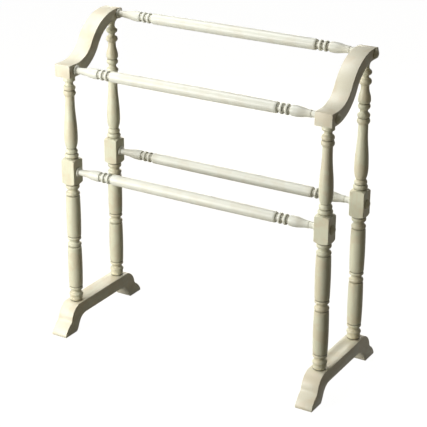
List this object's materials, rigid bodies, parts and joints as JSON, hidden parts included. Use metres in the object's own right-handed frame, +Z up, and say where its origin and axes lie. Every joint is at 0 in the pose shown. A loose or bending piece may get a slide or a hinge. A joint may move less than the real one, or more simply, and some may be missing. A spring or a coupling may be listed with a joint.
{
  "type": "quilt rack",
  "caption": "Freestanding quilt rack in painted turned wood: trestle end frames with S-curved arms carry stepped pairs of turned hanging rails.",
  "frame": {"origin": "on the floor, under the middle of the rack", "axes": "+X along the rails towards the right end frame, -Y towards the front (the lower upper rail), +Z up"},
  "size_m": [0.8, 0.3576, 0.85],
  "materials": {
    "painted_wood": "cream paint with a dark antique glaze in the turned grooves, satin",
    "zinc_steel": "zinc plated",
    "brass_insert": "machined"
  },
  "bodies": {
    "root": {"left_foot": "painted_wood", "left_front_post": "painted_wood", "left_rear_post": "painted_wood", "left_arm": "painted_wood", "right_foot": "painted_wood", "right_front_post": "painted_wood", "right_rear_post": "painted_wood", "right_arm": "painted_wood", "upper_front_rail": "painted_wood", "upper_front_left_button": "painted_wood", "upper_front_left_bolt": "zinc_steel", "upper_front_left_washer": "zinc_steel", "upper_front_left_insert": "brass_insert", "upper_front_right_button": "painted_wood", "upper_front_right_bolt": "zinc_steel", "upper_front_right_washer": "zinc_steel", "upper_front_right_insert": "brass_insert", "upper_rear_rail": "painted_wood", "upper_rear_left_button": "painted_wood", "upper_rear_left_bolt": "zinc_steel", "upper_rear_left_washer": "zinc_steel", "upper_rear_left_insert": "brass_insert", "upper_rear_right_button": "painted_wood", "upper_rear_right_bolt": "zinc_steel", "upper_rear_right_washer": "zinc_steel", "upper_rear_right_insert": "brass_insert", "lower_front_rail": "painted_wood", "lower_front_left_button": "painted_wood", "lower_front_left_bolt": "zinc_steel", "lower_front_left_washer": "zinc_steel", "lower_front_left_insert": "brass_insert", "lower_front_right_button": "painted_wood", "lower_front_right_bolt": "zinc_steel", "lower_front_right_washer": "zinc_steel", "lower_front_right_insert": "brass_insert", "lower_rear_rail": "painted_wood", "lower_rear_left_button": "painted_wood", "lower_rear_left_bolt": "zinc_steel", "lower_rear_left_washer": "zinc_steel", "lower_rear_left_insert": "brass_insert", "lower_rear_right_button": "painted_wood", "lower_rear_right_bolt": "zinc_steel", "lower_rear_right_washer": "zinc_steel", "lower_rear_right_insert": "brass_insert"}
  },
  "joints": []
}
